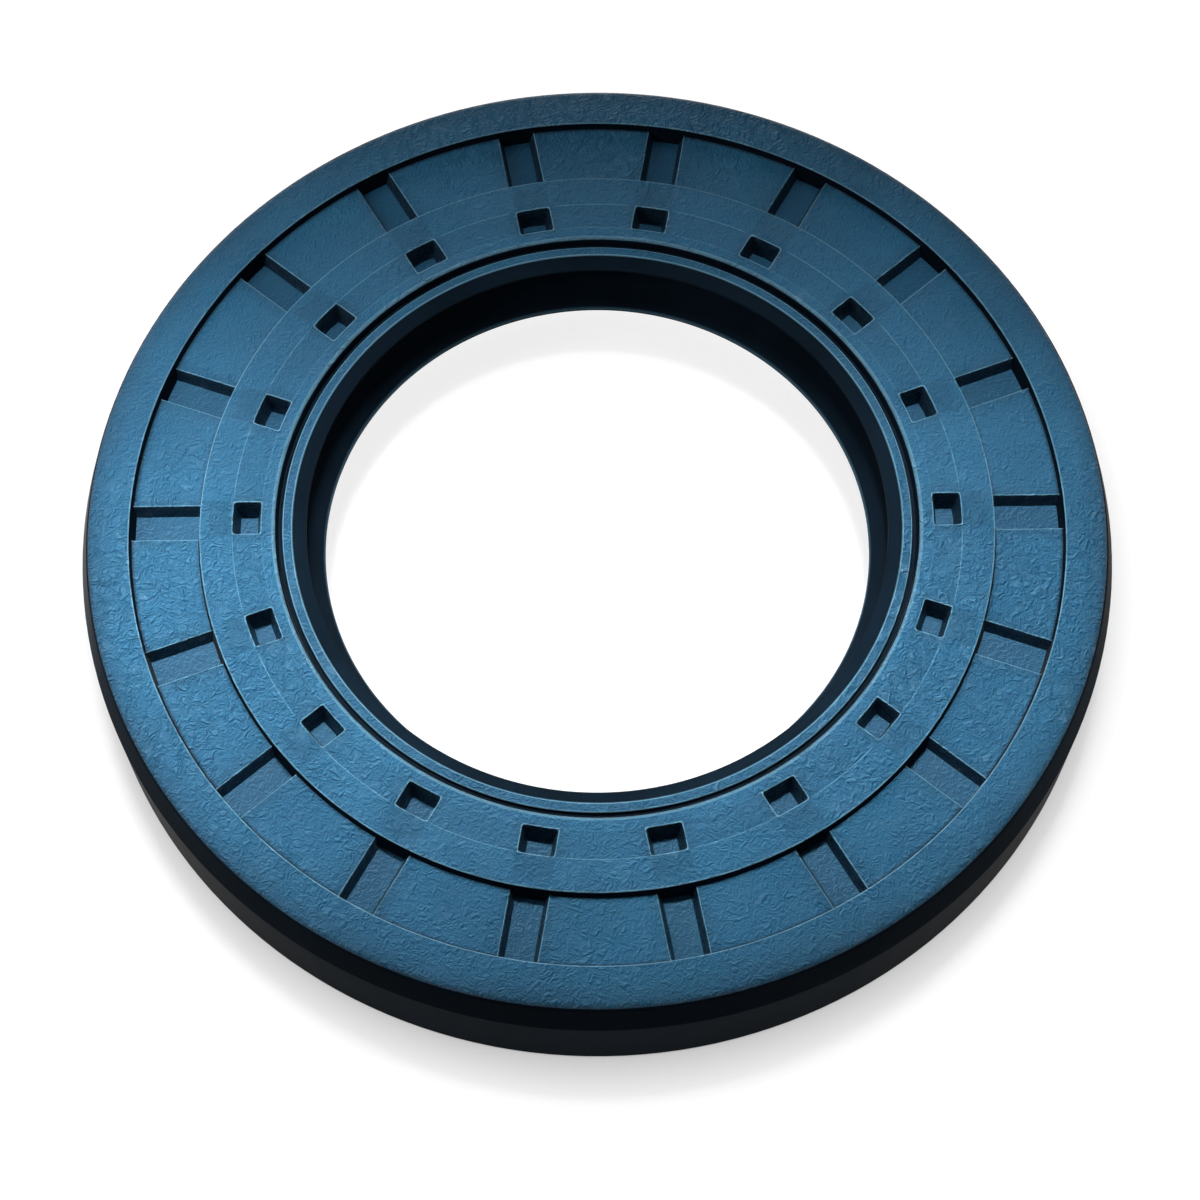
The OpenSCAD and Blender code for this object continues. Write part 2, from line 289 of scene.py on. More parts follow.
def lip_wear_and_sheen(r, z):
    """Pale lines, partly wear and partly a painted highlight, on the ring's rounded edge, on both edges of
    the dust lip and on the main lip's tip.
    """
    if r > RELIEF_R:
        return RING_INNER_WEAR_AND_SHEEN if RING_INNER_LINE_LOW_Z < z < RING_INNER_LINE_HIGH_Z else 0.0
    if r > DUST_IN_R - 0.1 and DUST_LINE_LOW_Z < z < DUST_LINE_HIGH_Z:
        return DUST_WEAR_AND_SHEEN
    return TIP_WEAR_AND_SHEEN if r < LIP_R + 0.05 else 0.0


add_run(lips[1:-1], lip_polish_and_shade, lip_wear_and_sheen)
print(len(lips) - 2, "rows over the lips")

# %% [markdown]
# The spring snaps into a groove that is more than half a circle, so it can't fall out. From there
# the section goes up behind the lip and through the plain hollow of the oil side to the foot.

# %% Groove and hollow
GROOVE_STEPS = 14
open_angle = math.degrees(math.acos((MOUTH_R - SPRING_R) / GROOVE_R))
for i in range(GROOVE_STEPS + 1):
    a = math.radians(360 - open_angle - (360 - 2 * open_angle) * i / GROOVE_STEPS)
    add_row(SPRING_R + GROOVE_R * math.cos(a), SPRING_Z + GROOVE_R * math.sin(a), smooth=1.0)
hollow = rounded([
    (MOUTH_R, 7.65, 0, 0), (31.2, HOLLOW_Z, 0.8, 3), (39.0, HOLLOW_Z, 0, 0), (HOLLOW_R, HOLLOW_Z, 0.8, 6),
    (HOLLOW_R, 0.3, 0.1, 2), (47.0, 0, 0.1, 2), (FOOT_R, 0, 0, 0)])
add_run(hollow[1:-1])
print(len(rows), "rows round the whole section")

# %% [markdown]
# ## One sector of the moulding
#
# The face repeats every 20 degrees, so only one sector's points are built one by one. Its columns run
# straight beside the slot and the square pocket, as the mould's pins do, and fan out to the sector's edges.
# The steel lies in a channel inside the rubber that opens at the bottom of each pocket. Its skin is
# a second set of rows, and it shares the points round those openings, so the moulding is closed.

# %% Columns of the sector
FAN = 4
SHIFT_R, SHIFT_LENGTH = 35.5, 2.3
line_count = FLOOR + 1 + FAN


def lines_at(r):
    """Distances of the straight columns from the sector's middle at a radius, from the floor out.

    They keep the square pocket's width up to SHIFT_R and then pass over to the slot's width."""
    slot = [SLOT_W / 2 - into for into, _ in reversed(slot_steps)]
    square = [SQUARE_W / 2 - into for into, _ in reversed(square_steps)]
    t = min(max((r - SHIFT_R) / SHIFT_LENGTH, 0.0), 1.0)
    return [0.0] + [a + (b - a) * t for a, b in zip(square, slot)]


def column_angle(col, r):
    """Angle of a column, in radians; columns past the straight ones fan out to the sector's edge."""
    lines = lines_at(r)
    side = 1 if col >= 0 else -1
    n = abs(col)
    if n < len(lines):
        return side * math.asin(lines[n] / r)
    last = math.asin(lines[-1] / r)
    share = (n - len(lines) + 1) / FAN
    return side * (last + (math.radians(PITCH / 2) - last) * share)


def column_level(col):
    """Step of the pocket wall that a column follows: 0 on the flat face, FLOOR on the steel."""
    return max(FLOOR - abs(col) + 1, 0) if col else FLOOR


columns = list(range(1 - line_count, line_count))
print(len(columns), "columns, from", columns[0], "to", columns[-1])

# %% [markdown]
# A point of the skin belongs to one row and one column. The column's level says how far down the
# pocket wall it is, and so how the row's two places are mixed. The real pockets have round corners in
# plan, so points near a corner are drawn in onto an arc. The faint steps and patches are only some
# hundredths of a millimetre deep, yet the light shows them, so they are made as real shape.

# %% Place of one point
CORNER_R = 0.22
STEP_H, PATCH_H, PATCH_LEVEL = 0.035, 0.02, 2
slot_share = [0.0] + [depth / (TILE_Z - STEEL_Z) for _, depth in slot_steps]
square_depth = [0.0] + [depth for _, depth in square_steps]


def round_plan_corner(y, r, level):
    """Draws the points near a square pocket's corner in, so that the corner is round in plan."""
    into = square_steps[level - 1][0]
    u = SQUARE_W / 2 - into - abs(y)
    v = min(r - SQUARE_IN_R - into, SQUARE_OUT_R - into - r)
    if u > CORNER_R or v > CORNER_R or u < -1e-6 or v < -1e-6:
        return y, r
    far = max(u, v)
    a = math.radians(45) * (1 - far / CORNER_R)
    du, dv = CORNER_R * (1 - math.cos(a)), CORNER_R * (1 - math.sin(a))
    if v < u:
        du, dv = dv, du
    outer = r > (SQUARE_IN_R + SQUARE_OUT_R) / 2
    new_r = SQUARE_OUT_R - into - dv if outer else SQUARE_IN_R + into + dv
    return math.copysign(SQUARE_W / 2 - into - du, y), new_r


def skin_point(row, col):
    """Place (x, y, z) of a point of the outer skin, in the sector whose middle is the X axis."""
    level = column_level(col)
    if row["square"]:
        level = min(level, row["square"])
        z = row["z"] - max(square_depth[level], STEP_H * row["step"])
        r, y = row["r"], row["r"] * math.sin(column_angle(col, row["r"]))
        if level:
            y, r = round_plan_corner(y, r, level)
        return math.sqrt(max(r * r - y * y, 0)), y, z
    share = slot_share[level]
    r = row["r"] + (row["slot_r"] - row["r"]) * share
    z = row["z"] + (row["slot_z"] - row["z"]) * share
    if row["zone"] == FAINT_PATCH and level >= PATCH_LEVEL:
        z -= PATCH_H
    angle = column_angle(col, r)
    return r * math.cos(angle), r * math.sin(angle), z


def edge_amount(row, col):
    """How pale a point's edge is, from 0 to 1: partly wear, partly a painted highlight."""
    level = column_level(col)
    if row["square"] and min(level, row["square"]):
        return STEP_WEAR_AND_SHEEN[min(level, row["square"]) - 1]
    if row["zone"] == SLOT_FLOOR and level:
        return STEP_WEAR_AND_SHEEN[level - 1]
    return row["edge"]


print("the first point of the middle column:", [round(c, 2) for c in skin_point(rows[0], 0)], "mm")

# %% [markdown]
# The skin is woven from the rows and columns with a mesh editor. Quads over the mitre of a square
# pocket are split along the mitre, so that no facet bridges two walls, and the floors are left out,
# because there the steel lies bare. The channel for the steel is woven in the same way, and its rows
# use the skin's own points round the openings, so both close up without a seam.

# %% Weave the sector
STEEL_BEND_OUT, STEEL_BEND_IN = 2.2, 1.0
PATCH_SUNK, STEP_SUNK_TONE, STEP_TONE_LEVEL = 1.0, 0.5, 4


def sector_mesh():
    bm = bmesh.new()
    edge_layer = bm.verts.layers.float.new("edge")
    sink_layer = bm.verts.layers.float.new("sunk")
    # The smooth attribute marks the polished finish and also carries painted shade into the colour.
    polish_and_shade_layer = bm.verts.layers.float.new("smooth")
    points = {}

    def point(key, place, edge=0.0, sunk=0.0, smooth=0.0):
        if key not in points:
            points[key] = bm.verts.new([c * MM for c in place])
            points[key][edge_layer] = edge
            points[key][sink_layer] = sunk
            points[key][polish_and_shade_layer] = smooth
        return points[key]

    def is_floor(row, col):
        on_floor = row["square"] == FLOOR or row["zone"] == SLOT_FLOOR
        return on_floor and column_level(col) == FLOOR

    def weave(make, count, split, skip):
        """Joins neighbouring rows and columns by faces; split may cut a quad along either diagonal."""
        for i in range(count):
            j = (i + 1) % count
            for a, b in zip(columns[:-1], columns[1:]):
                if skip(i, j, a, b):
                    continue
                corners = [make(i, a), make(i, b), make(j, b), make(j, a)]
                cut = split(i, j, a, b)
                if cut == 1:
                    bm.faces.new([corners[0], corners[1], corners[2]])
                    bm.faces.new([corners[0], corners[2], corners[3]])
                elif cut == 2:
                    bm.faces.new([corners[1], corners[2], corners[3]])
                    bm.faces.new([corners[1], corners[3], corners[0]])
                else:
                    bm.faces.new(corners)

    def skin(i, col):
        row, level = rows[i], column_level(col)
        sunk = 0.0
        if row["zone"] == FAINT_PATCH and level >= PATCH_LEVEL:
            sunk = PATCH_SUNK
        if row["square"] and row["step"] == 1.0 and level < STEP_TONE_LEVEL:
            sunk = STEP_SUNK_TONE
        wall = 0
        if row["square"] or row["zone"] == SLOT_FLOOR:
            wall = min(level, row["square"] or FLOOR)
        smooth = max(row["smooth"], STEP_POLISH_AND_SHADE[wall - 1] if wall else 0.0)
        return point(("skin", i, col), skin_point(row, col), edge_amount(row, col), sunk, smooth)

    def skin_skip(i, j, a, b):
        return all(is_floor(rows[k], c) for k in (i, j) for c in (a, b))

    def skin_split(i, j, a, b):
        if not (rows[i]["square"] and rows[j]["square"]):
            return 0
        levels = {(k, c): min(column_level(c), rows[k]["square"]) for k in (i, j) for c in (a, b)}
        if levels[i, a] != levels[j, b]:
            return 1 if levels[i, b] == levels[j, a] else 0
        return 2 if levels[i, b] != levels[j, a] else 0

    weave(skin, len(rows), skin_split, skin_skip)

    floor_rows = [i for i, row in enumerate(rows) if row["zone"] == SLOT_FLOOR or row["square"] == FLOOR]
    bend = corner_arc((LEG_OUT_R, 5.0), (LEG_OUT_R, STEEL_Z), (46.0, STEEL_Z), STEEL_BEND_OUT, 5)
    inner_bend = corner_arc((46.0, STEEL_LOW_Z), (LEG_IN_R, STEEL_LOW_Z), (LEG_IN_R, 5.0), STEEL_BEND_IN, 3)
    channel = [(STEEL_IN_R, STEEL_LOW_Z)] + inner_bend
    channel += [(LEG_IN_R, LEG_FOOT_Z), (LEG_OUT_R, LEG_FOOT_Z)] + bend
    channel += [("floor", i) for i in floor_rows] + [(STEEL_IN_R, STEEL_Z)]

    def inside(i, col):
        a, b = channel[i]
        if a == "floor":
            row = rows[b]
            if column_level(col) == FLOOR:
                return skin(b, col)
            r = row["slot_r"] if row["zone"] == SLOT_FLOOR else row["r"]
            angle = column_angle(col, r)
            return point(("in", i, col), (r * math.cos(angle), r * math.sin(angle), STEEL_Z))
        angle = column_angle(col, a)
        return point(("in", i, col), (a * math.cos(angle), a * math.sin(angle), b))

    def inside_skip(i, j, a, b):
        ends = (channel[i], channel[j])
        if any(e[0] != "floor" for e in ends) or not all(column_level(c) == FLOOR for c in (a, b)):
            return False
        both = [rows[e[1]] for e in ends]
        return both[0]["zone"] == both[1]["zone"] and both[0]["square"] == both[1]["square"]

    weave(inside, len(channel), lambda *_: 0, inside_skip)
    bmesh.ops.recalc_face_normals(bm, faces=bm.faces)
    mesh = bpy.data.meshes.new("moulding_sector")
    bm.to_mesh(mesh)
    bm.free()
    return mesh


sector = bpy.data.objects.new("moulding_sector", sector_mesh())
bpy.context.scene.collection.objects.link(sector)
print("the sector has", len(sector.data.vertices), "points and", len(sector.data.polygons), "faces")

# %% [markdown]
# ## Materials
#
# The looks come from four procedural finishes: moulded rubber, the same rubber where the mould was
# polished, coated steel and drawn wire. The rubber and the coat on the steel were pressed in one
# mould, so they share one grain, which is a node group. It gives a height for the bump, a broad tone
# and two masks for the colour, and each finish sets its own scale and strength. First come helpers
# that add a node in one line, because a material takes dozens of them. Lengths inside a node tree
# are in metres, which is Blender's own unit, and so is the table's shade further down.

# %% Helpers for node trees
def new_group(name, inputs, outputs):
    group = bpy.data.node_groups.new(name, "ShaderNodeTree")
    for label, kind, default in inputs:
        socket = group.interface.new_socket(name=label, in_out="INPUT", socket_type=kind)
        socket.default_value = default
    for label, kind in outputs:
        group.interface.new_socket(name=label, in_out="OUTPUT", socket_type=kind)
    return group, group.nodes.new("NodeGroupInput"), group.nodes.new("NodeGroupOutput")


def add_node(tree, kind, settings=None, **values):
    """Adds a node, sets its own settings, and gives values or links to its inputs.

    An input is called by its name, or by i and its number, such as i0."""
    node = tree.nodes.new(kind)
    for key, value in (settings or {}).items():
        setattr(node, key, value)
    for key, value in values.items():
        by_number = key[0] == "i" and key[1:].isdigit()
        socket = node.inputs[int(key[1:]) if by_number else key]
        if isinstance(value, bpy.types.NodeSocket):
            tree.links.new(value, socket)
        else:
            socket.default_value = value
    return node


def math_node(tree, operation, a, b=0.0, clamp=False):
    node = add_node(tree, "ShaderNodeMath", {"operation": operation, "use_clamp": clamp}, i0=a, i1=b)
    return node.outputs[0]


def ramp(tree, value, start, end, low=0.0, high=1.0, kind="LINEAR"):
    """Maps start to low and end to high, and stays level outside them."""
    node = add_node(tree, "ShaderNodeMapRange", {"interpolation_type": kind},
                    Value=value, i1=start, i2=end, i3=low, i4=high)
    return node.outputs[0]


def mix_colors(tree, mask, under, over, amount=None):
    """Lays one colour over another by a mask, or by a share of the mask."""
    if amount is not None:
        mask = math_node(tree, "MULTIPLY", mask, amount)
    node = add_node(tree, "ShaderNodeMix", {"data_type": "RGBA"}, i0=mask, i6=under, i7=over)
    return node.outputs[2]


def attribute(tree, name):
    return add_node(tree, "ShaderNodeAttribute", {"attribute_name": name}).outputs["Fac"]


def new_material(name):
    material = bpy.data.materials.new(name)
    material.use_nodes = True
    return material, material.node_tree, material.node_tree.nodes["Principled BSDF"]


def set_inputs(tree, shader, values):
    for name, value in values.items():
        if isinstance(value, bpy.types.NodeSocket):
            tree.links.new(value, shader.inputs[name])
        else:
            shader.inputs[name].default_value = value


def bump(tree, height, strength, distance):
    node = add_node(tree, "ShaderNodeBump", Height=height, Strength=strength, Distance=distance)
    return node.outputs["Normal"]


def srgb(r, g, b):
    """Turns screen colours of 0 to 255 into the linear values that a shader takes."""
    def linear(c):
        c /= 255
        return c / 12.92 if c <= 0.04045 else ((c + 0.055) / 1.055) ** 2.4
    return linear(r), linear(g), linear(b), 1.0


print("screen grey 128 is", round(srgb(128, 128, 128)[0], 3), "as a linear value")

# %% [markdown]
# The grain of the mould looks like fine creased leather. Noise that is swirled by its own distortion
# makes the creases, and a finer noise adds grit. The height is read twice, the second time a little
# towards the back left. The difference lays a painted highlight on the flank of a crease that faces the
# back left and painted shade on the other flank, so the grain also reads under soft light. A third,
# broad noise changes the tone over the face.
# The flanks are weaker towards the back, and the grain is lower on the rim at the very back, because
# the photograph shows that side smoother.

# %% The mould's grain
CREASE_SCALE, GRIT_SCALE, TONE_SCALE = 1100.0, 2600.0, 70.0
CREASE_SHARE, GRIT_SHARE = 0.55, 0.45
FLANK_STEP, FLANK_SLOPE = (-0.00004, 0.00007, 0.0), 0.16  # the step is in metres
FLANKS_BACK_Y, FLANKS_BACK = 0.03, 0.3
RIM_BACK_Y, RIM_FRONT_Y, RIM_BACK = 0.049, 0.041, 0.35


def mould_grain():
    group, source, sink = new_group(
        "mould_grain",
        [("Scale", "NodeSocketFloat", 1.0), ("Swirl", "NodeSocketFloat", 1.2)],
        [("Height", "NodeSocketFloat"), ("Tone", "NodeSocketFloat"), ("Painted Highlight Flank", "NodeSocketFloat"),
         ("Painted Shade Flank", "NodeSocketFloat")])
    place = add_node(group, "ShaderNodeTexCoord").outputs["Object"]

    def scaled(vector):
        node = add_node(group, "ShaderNodeVectorMath", {"operation": "SCALE"}, i0=vector)
        group.links.new(source.outputs["Scale"], node.inputs["Scale"])
        return node.outputs[0]

    def height_at(vector):
        creases = add_node(group, "ShaderNodeTexNoise", Vector=vector, Scale=CREASE_SCALE, Detail=3.0,
                           Roughness=0.55, Distortion=source.outputs["Swirl"])
        grit = add_node(group, "ShaderNodeTexNoise", Vector=vector, Scale=GRIT_SCALE, Detail=2.0,
                        Roughness=0.5, Distortion=0.6)
        middle = math_node(group, "ABSOLUTE", math_node(group, "SUBTRACT", creases.outputs[0], 0.5))
        fold = math_node(group, "MULTIPLY", middle, 5.0, clamp=True)
        return math_node(group, "ADD", math_node(group, "MULTIPLY", fold, CREASE_SHARE),
                         math_node(group, "MULTIPLY", grit.outputs[0], GRIT_SHARE))

    height = height_at(scaled(place))
    beside = add_node(group, "ShaderNodeVectorMath", {"operation": "ADD"}, i0=place, i1=FLANK_STEP)
    slope = math_node(group, "SUBTRACT", height, height_at(scaled(beside.outputs[0])))
    broad = add_node(group, "ShaderNodeTexNoise", Vector=place, Scale=TONE_SCALE, Detail=3.0, Roughness=0.6)
    y = add_node(group, "ShaderNodeSeparateXYZ", Vector=place).outputs["Y"]
    nearness = ramp(group, y, FLANKS_BACK_Y, 0.0, FLANKS_BACK, 1.0)
    # Painted highlight on the flank of a crease that faces the back left, painted shade on the other flank.
    for name, sign in (("Painted Highlight Flank", 1), ("Painted Shade Flank", -1)):
        flank = ramp(group, slope, 0.0, FLANK_SLOPE * sign)
        group.links.new(math_node(group, "MULTIPLY", flank, nearness), sink.inputs[name])
    off_back_rim = ramp(group, y, RIM_BACK_Y, RIM_FRONT_Y, RIM_BACK, 1.0)
    group.links.new(math_node(group, "MULTIPLY", height, off_back_rim), sink.inputs["Height"])
    group.links.new(broad.outputs[0], sink.inputs["Tone"])
    return group


grain = mould_grain()
print("node group", grain.name, "with", len(grain.nodes), "nodes")

# %% [markdown]
# The rubber is a deep petrol blue with a satin skin. Its colour is built up in layers, as a painter
# would: two tones of blue, painted shade in the dark flanks of the grain, a painted highlight on the
# bright ones, the faint sunk steps, a darker blue on the way to the polished finish that is also
# painted shade, and pale edges that are partly wear and partly a painted highlight. The gloss has a
# blue tint, which keeps the lit side as blue as the rest.

# %% Moulded rubber
SHEEN_TINT = (0.7, 0.9, 1.0, 1.0)


def blotches(tree, grained, darker, lighter):
    """Two tones of one colour, in broad blotches."""
    return mix_colors(tree, ramp(tree, grained.outputs["Tone"], 0.35, 0.65), srgb(*darker), srgb(*lighter))


def moulded_rubber():
    material, tree, shader = new_material("moulded_rubber")
    grained = add_node(tree, "ShaderNodeGroup", {"node_tree": grain}, Scale=1.0, Swirl=1.2)
    blue = blotches(tree, grained, (32, 94, 131), (39, 107, 146))
    # Painted shade in the dark flanks of the grain, then a painted highlight on the bright flanks.
    blue = mix_colors(tree, grained.outputs["Painted Shade Flank"], blue, srgb(14, 58, 90), amount=0.45)
    blue = mix_colors(tree, grained.outputs["Painted Highlight Flank"], blue, srgb(98, 164, 198), amount=0.3)
    blue = mix_colors(tree, attribute(tree, "sunk"), blue, srgb(24, 74, 104), amount=0.4)
    # Towards the polished finish the blue darkens: partly the finish, partly painted shade on walls, corners,
    # grooves and the rim's outer edge.
    blue = mix_colors(tree, ramp(tree, attribute(tree, "smooth"), 0.0, 0.5), blue, srgb(21, 42, 60))
    # Pale edges: partly wear, partly a painted highlight on the rounded edges.
    blue = mix_colors(tree, attribute(tree, "edge"), blue, srgb(146, 202, 230), amount=0.68)
    set_inputs(tree, shader, {
        "Base Color": blue, "Roughness": ramp(tree, grained.outputs["Tone"], 0.3, 0.7, 0.4, 0.32),
        "Specular IOR Level": 0.4, "Specular Tint": SHEEN_TINT,
        "Normal": bump(tree, grained.outputs["Height"], 1.0, 0.00026)})
    return material


rubber = moulded_rubber()
print(rubber.name, "with", len(rubber.node_tree.nodes), "nodes")

# %% [markdown]
# On the outer wall, the pocket walls and the lips the same rubber comes from a polished part of the
# mould. There it is smooth and nearly without sheen, and its dark colour is partly painted shade. Where
# it turns away from the eye a grey is painted in as a painted reflection; Layer Weight gives that turn.
# Pale edges, partly wear and partly a painted highlight, are here too.

# %% Polished rubber
def polished_shaded_rubber():
    material, tree, shader = new_material("polished_shaded_rubber")
    grained = add_node(tree, "ShaderNodeGroup", {"node_tree": grain}, Scale=0.6, Swirl=0.2)
    # This dark blue stands for the polished rubber and for painted shade on the outer wall, the pocket walls
    # and the lips.
    dark = blotches(tree, grained, (15, 27, 37), (20, 34, 46))
    facing = add_node(tree, "ShaderNodeLayerWeight", Blend=0.5).outputs["Facing"]
    # A grey painted where the surface turns away from the eye: a painted reflection at grazing view.
    dark = mix_colors(tree, ramp(tree, facing, 0.78, 0.97, kind="SMOOTHSTEP"), dark, srgb(104, 104, 104))
    # Pale edges here too: partly wear, partly a painted highlight.
    dark = mix_colors(tree, attribute(tree, "edge"), dark, srgb(130, 180, 208), amount=0.75)
    set_inputs(tree, shader, {
        "Base Color": dark, "Roughness": 0.6, "Specular IOR Level": 0.01,
        "Normal": bump(tree, grained.outputs["Height"], 0.15, 0.00004)})
    return material


polished_shaded = polished_shaded_rubber()
print(polished_shaded.name, "with", len(polished_shaded.node_tree.nodes), "nodes")

# %% [markdown]
# The steel shows only at the bottom of the pockets, under a thin coat that makes the rubber stick to
# it. It is darker than the rubber and duller, with the same grain.

# %% Coated steel
def coated_steel():
    material, tree, shader = new_material("coated_steel")
    grained = add_node(tree, "ShaderNodeGroup", {"node_tree": grain}, Scale=1.1, Swirl=1.0)
    coat = blotches(tree, grained, (24, 74, 106), (31, 86, 120))
    # The coat gets the same painted shade and painted highlight on the flanks of the grain.
    coat = mix_colors(tree, grained.outputs["Painted Shade Flank"], coat, srgb(16, 52, 78), amount=0.5)
    coat = mix_colors(tree, grained.outputs["Painted Highlight Flank"], coat, srgb(88, 142, 172), amount=0.35)
    set_inputs(tree, shader, {
        "Base Color": coat, "Roughness": 0.5, "Specular IOR Level": 0.15, "Specular Tint": SHEEN_TINT,
        "Normal": bump(tree, grained.outputs["Height"], 0.5, 0.00006)})
    return material


steel = coated_steel()
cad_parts["steel_ring"].data.materials.clear()
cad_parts["steel_ring"].data.materials.append(steel)
print("the steel ring keeps its own mesh and gets", steel.name)

# %% [markdown]
# The spring is wound from bright drawn wire. Drawing leaves fine marks, and a little oil left from
# winding makes its gloss uneven, so one noise changes the grey and the gloss and a finer one the
# relief.

# %% Drawn wire
SMEAR_SCALE, MARK_SCALE = 420.0, 6000.0


def drawn_wire():
    material, tree, shader = new_material("drawn_wire")
    place = add_node(tree, "ShaderNodeTexCoord").outputs["Object"]
    smear = add_node(tree, "ShaderNodeTexNoise", Vector=place, Scale=SMEAR_SCALE, Detail=3.0,
                     Roughness=0.6).outputs[0]
    marks = add_node(tree, "ShaderNodeTexNoise", Vector=place, Scale=MARK_SCALE, Detail=2.0).outputs[0]
    set_inputs(tree, shader, {
        "Base Color": mix_colors(tree, smear, srgb(150, 150, 150), srgb(196, 196, 192)),
        "Roughness": ramp(tree, smear, 0.3, 0.7, 0.22, 0.38), "Metallic": 1.0,
        "Normal": bump(tree, marks, 0.15, 0.00001)})
    return material


wire = drawn_wire()
print(wire.name, "with", len(wire.node_tree.nodes), "nodes")

# %% [markdown]
# ## The moulding from its sectors
#
# The face has one slot and one square pocket in every sector, so Geometry Nodes make what repeats.
# Two helpers serve this tree and the spring's: one opens a tree with named inputs for its sizes, and
# one runs it on a piece and turns the result into a plain mesh. A modifier takes its values by the
# identifier of each input and not by the name, so the helper looks that up.

# %% Helpers for geometry nodes
def geometry_tree(name, inputs):
    tree = bpy.data.node_groups.new(name, "GeometryNodeTree")
    tree.interface.new_socket(name="Geometry", in_out="INPUT", socket_type="NodeSocketGeometry")
    for label, kind in inputs:
        tree.interface.new_socket(name=label, in_out="INPUT", socket_type=kind)
    tree.interface.new_socket(name="Geometry", in_out="OUTPUT", socket_type="NodeSocketGeometry")
    return tree, tree.nodes.new("NodeGroupInput"), tree.nodes.new("NodeGroupOutput")


def run_tree(piece, tree, values):
    """Runs a tree on a piece with values by name, and gives the result as a plain mesh."""
    modifier = piece.modifiers.new(tree.name, "NODES")
    modifier.node_group = tree
    for item in tree.interface.items_tree:
        if item.item_type == "SOCKET" and item.in_out == "INPUT" and item.name in values:
            modifier[item.identifier] = values[item.name]
    piece.update_tag()
    bpy.context.view_layer.update()
    evaluated = piece.evaluated_get(bpy.context.evaluated_depsgraph_get())
    mesh = bpy.data.meshes.new_from_object(evaluated, preserve_all_data_layers=True,
                                           depsgraph=bpy.context.evaluated_depsgraph_get())
    piece.modifiers.remove(modifier)
    return mesh


print("helpers:", geometry_tree.__name__, "and", run_tree.__name__)

# %% [markdown]
# The tree copies the sector round the axis, welds the seams and sets the rubber. The number of
# sectors is an input, as the number of pins is for the mould. A face gets the polished finish, whose
# dark colour is partly painted shade, where the mean of its points is over a half.

# %% Repeat the sector
WELD = 0.000002  # in metres
POLISHED_FROM = 0.5


def sector_tree():
    tree, source, sink = geometry_tree("repeat_sector", [
        ("Sectors", "NodeSocketInt"), ("Weld", "NodeSocketFloat"), ("Grained", "NodeSocketMaterial"),
        ("Polished Shaded", "NodeSocketMaterial")])
    points = add_node(tree, "GeometryNodePoints", Count=source.outputs["Sectors"])
    index = add_node(tree, "GeometryNodeInputIndex")
    step = math_node(tree, "DIVIDE", math.tau, source.outputs["Sectors"])
    turn = math_node(tree, "MULTIPLY", index.outputs[0], step)
    euler = add_node(tree, "ShaderNodeCombineXYZ", Z=turn)
    rotation = add_node(tree, "FunctionNodeEulerToRotation", i0=euler.outputs[0])
    copies = add_node(tree, "GeometryNodeInstanceOnPoints", Points=points.outputs[0],
                      Instance=source.outputs["Geometry"], Rotation=rotation.outputs[0])
    real = add_node(tree, "GeometryNodeRealizeInstances", Geometry=copies.outputs[0])
    weld = add_node(tree, "GeometryNodeMergeByDistance", Geometry=real.outputs[0],
                    Distance=source.outputs["Weld"])
    smooth = add_node(tree, "GeometryNodeSetShadeSmooth", Geometry=weld.outputs[0])
    grained = add_node(tree, "GeometryNodeSetMaterial", Geometry=smooth.outputs[0],
                       Material=source.outputs["Grained"])
    amount = add_node(tree, "GeometryNodeInputNamedAttribute", {"data_type": "FLOAT"}, Name="smooth")
    chosen = math_node(tree, "GREATER_THAN", amount.outputs[0], POLISHED_FROM)
    finish = add_node(tree, "GeometryNodeSetMaterial", Geometry=grained.outputs[0], Selection=chosen,
                      Material=source.outputs["Polished Shaded"])
    tree.links.new(finish.outputs[0], sink.inputs[0])
    return tree


moulding = bpy.data.objects.new("rubber_moulding", run_tree(
    sector, sector_tree(), {"Sectors": POCKETS, "Weld": WELD, "Grained": rubber, "Polished Shaded": polished_shaded}))
bpy.context.scene.collection.objects.link(moulding)
bpy.data.objects.remove(sector)
slots = moulding.data.materials
while None in list(slots):  # the sector's own empty slot is still there
    slots.pop(index=list(slots).index(None))
print("finishes:", [m.name for m in slots])
print("the moulding has", sum(len(p.vertices) - 2 for p in moulding.data.polygons), "triangles")

# %% [markdown]
# Large flat faces must look flat and small roundings round. So each corner of a face takes the mean
# direction of the faces round its point, weighted by their area, and leaves out those that turn away
# by more than a set angle. This is what the Weighted Normal modifier does, with the creases kept.

# %% Clean light on flats and edges
CREASE_DEG = 42.0


def read_all(items, name, width=1, kind=float):
    """One value, or a few, of every point, face or corner as an array."""
    values = np.empty(len(items) * width, kind)
    items.foreach_get(name, values)
    return values.reshape(-1, width) if width > 1 else values


